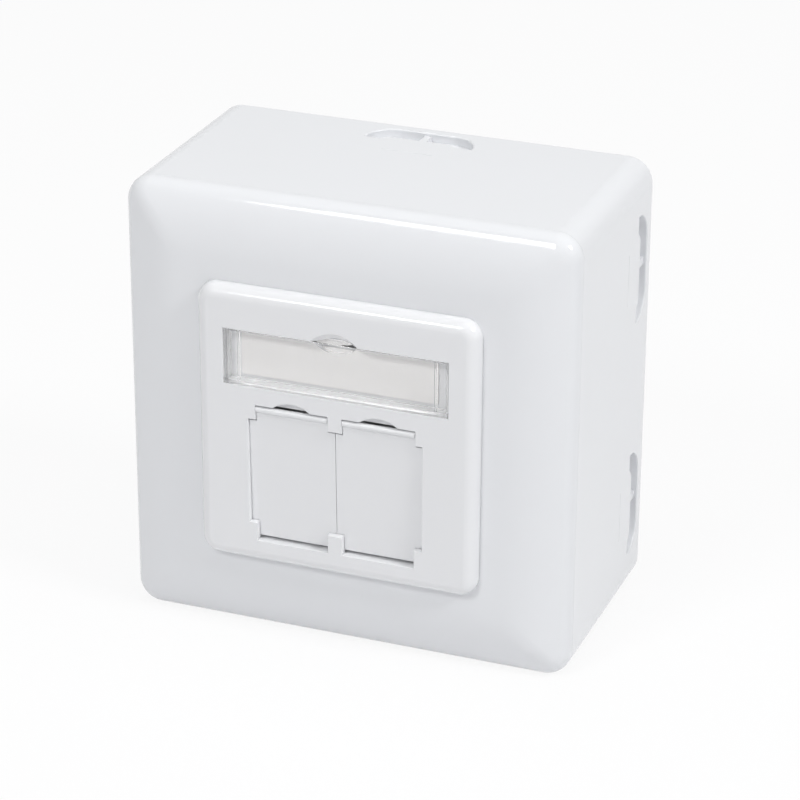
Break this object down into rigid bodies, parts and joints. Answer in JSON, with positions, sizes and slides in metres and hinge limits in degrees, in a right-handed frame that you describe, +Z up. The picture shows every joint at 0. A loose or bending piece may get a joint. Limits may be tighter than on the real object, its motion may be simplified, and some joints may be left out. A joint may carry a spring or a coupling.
{
  "type": "surface mount data outlet with two modular jacks",
  "caption": "Square surface mount jack box with a crowned frame, raised centre plate, clear label window and two hinged dust flaps over slanted modular jacks.",
  "frame": {"origin": "centre of the back face, which lies on the wall", "axes": "+Y into the wall, so the front faces -Y; +X to the right seen from the front; +Z up"},
  "size_m": [0.08, 0.046, 0.08],
  "materials": {
    "white_plastic": "glossy moulded white, slightly cool",
    "clear_plastic": "clear polished",
    "label_card": "blank matt card, warm light grey",
    "zinc_plated_steel": "zinc plated sheet",
    "die_cast_metal": "satin as cast",
    "board_green": "satin solder mask",
    "jack_plastic": "fine matt moulded",
    "shield_sheet": "nickel plated sheet",
    "gold_contact": "gold plated wire",
    "terminal_plastic": "natural white moulded",
    "silver_contact": "silver plated"
  },
  "bodies": {
    "outlet": {"back_box": "white_plastic", "cover_frame": "white_plastic", "centre_plate": "white_plastic", "label_card": "label_card", "mounting_bracket": "zinc_plated_steel", "bracket_screws": "zinc_plated_steel", "centre_screw": "zinc_plated_steel", "board_screws": "zinc_plated_steel", "clamp_screws": "zinc_plated_steel", "cable_clamp": "zinc_plated_steel", "module_housing": "die_cast_metal", "circuit_board": "board_green", "jack_body_left": "jack_plastic", "jack_body_right": "jack_plastic", "jack_shield_left": "shield_sheet", "jack_shield_right": "shield_sheet", "jack_contacts_left": "gold_contact", "jack_contacts_right": "gold_contact", "terminal_block_left": "terminal_plastic", "terminal_block_right": "terminal_plastic", "terminal_contacts_left": "silver_contact", "terminal_contacts_right": "silver_contact"},
    "flap_left": {"dust_flap_left": "white_plastic"},
    "flap_right": {"dust_flap_right": "white_plastic"},
    "window": {"label_window": "clear_plastic"}
  },
  "joints": [
    {"name": "flap_left_hinge", "type": "hinge", "parent": "outlet", "child": "flap_left", "pos_m": [-0.0078, -0.04505, 0.0027], "axis": [-1, 0, 0], "range_deg": [0, 95]},
    {"name": "flap_right_hinge", "type": "hinge", "parent": "outlet", "child": "flap_right", "pos_m": [0.0078, -0.04505, 0.0027], "axis": [-1, 0, 0], "range_deg": [0, 95]},
    {"name": "window_slide", "type": "slide", "parent": "outlet", "child": "window", "axis": [0, -1, 0], "range_m": [0, 0.012]}
  ]
}
